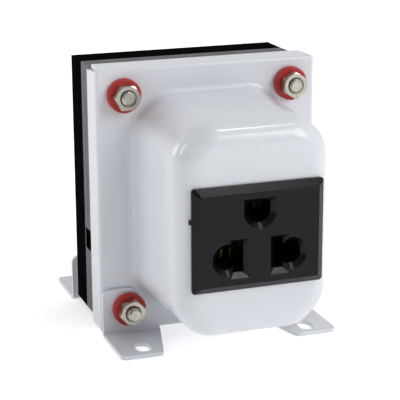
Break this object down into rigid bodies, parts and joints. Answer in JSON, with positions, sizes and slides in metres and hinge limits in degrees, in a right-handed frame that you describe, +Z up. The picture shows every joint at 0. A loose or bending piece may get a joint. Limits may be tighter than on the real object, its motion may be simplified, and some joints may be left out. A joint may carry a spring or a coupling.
{
  "type": "plug-in voltage converter",
  "caption": "Upright laminated mains transformer in white drawn covers on slotted feet, with a black outlet in front and a fuse holder behind.",
  "frame": {"origin": "on the floor plane, under the middle of the whole object", "axes": "+X to the right as seen from the outlet's side, +Y from the outlet to the fuse holder, +Z up"},
  "size_m": [0.0668, 0.1244, 0.0796],
  "materials": {
    "core_bare": "silicon steel laminations, dull edges",
    "core_varnish": "black varnished laminations",
    "bobbin_nylon": "moulded nylon",
    "copper": "enamelled copper wire",
    "insulation_paper": "insulating paper",
    "tape": "polyester tape",
    "fuse_can": "aluminium can",
    "enamel": "gloss enamel on drawn steel",
    "plated_steel": "nickel plated steel",
    "red_fibre": "vulcanised fibre",
    "sleeve": "varnished paper tube",
    "outlet_black": "moulded, fine satin",
    "contact_brass": "spring brass",
    "lead_red": "PVC insulation",
    "lead_black": "PVC insulation",
    "lead_green": "PVC insulation",
    "holder_black": "moulded phenolic",
    "fuse_glass": "clear glass",
    "nickel": "nickel plated brass",
    "grommet_rubber": "rubber"
  },
  "bodies": {
    "transformer": {"core_e_front": "core_bare", "core_i_front": "core_bare", "core_e_rear": "core_varnish", "core_i_rear": "core_varnish", "bobbin": "bobbin_nylon", "common_winding": "copper", "winding_paper": "insulation_paper", "series_winding": "copper", "winding_tape": "tape", "thermal_fuse": "fuse_can", "front_cover": "enamel", "rear_cover": "enamel", "foot_front_left": "enamel", "foot_front_right": "enamel", "foot_rear_left": "enamel", "foot_rear_right": "enamel", "clamp_bolts": "plated_steel", "clamp_nuts": "plated_steel", "front_washers": "red_fibre", "rear_washers": "red_fibre", "bolt_sleeves": "sleeve", "socket_face": "outlet_black", "socket_base": "outlet_black", "contact_live": "contact_brass", "contact_neutral": "contact_brass", "contact_earth": "contact_brass", "lead_live": "lead_red", "lead_neutral": "lead_black", "lead_earth": "lead_green", "earth_tab": "contact_brass", "lead_fuse": "lead_black", "fuse_holder": "holder_black", "fuse_holder_nut": "holder_black", "fuse_end_contact": "contact_brass", "cord_grommet": "grommet_rubber"},
    "fuse_carrier": {"fuse_carrier": "nickel", "fuse_glass": "fuse_glass", "fuse_end_caps": "nickel"},
    "fuse_cap": {"fuse_cap": "holder_black"}
  },
  "joints": [
    {"name": "fuse_carrier_pull", "type": "slide", "parent": "transformer", "child": "fuse_carrier", "axis": [0, 1, 0], "range_m": [0, 0.026]},
    {"name": "fuse_cap_turn", "type": "hinge", "parent": "fuse_carrier", "child": "fuse_cap", "pos_m": [0, 0.05635, 0.0532], "axis": [0, 1, 0], "range_deg": [0, 60]}
  ]
}
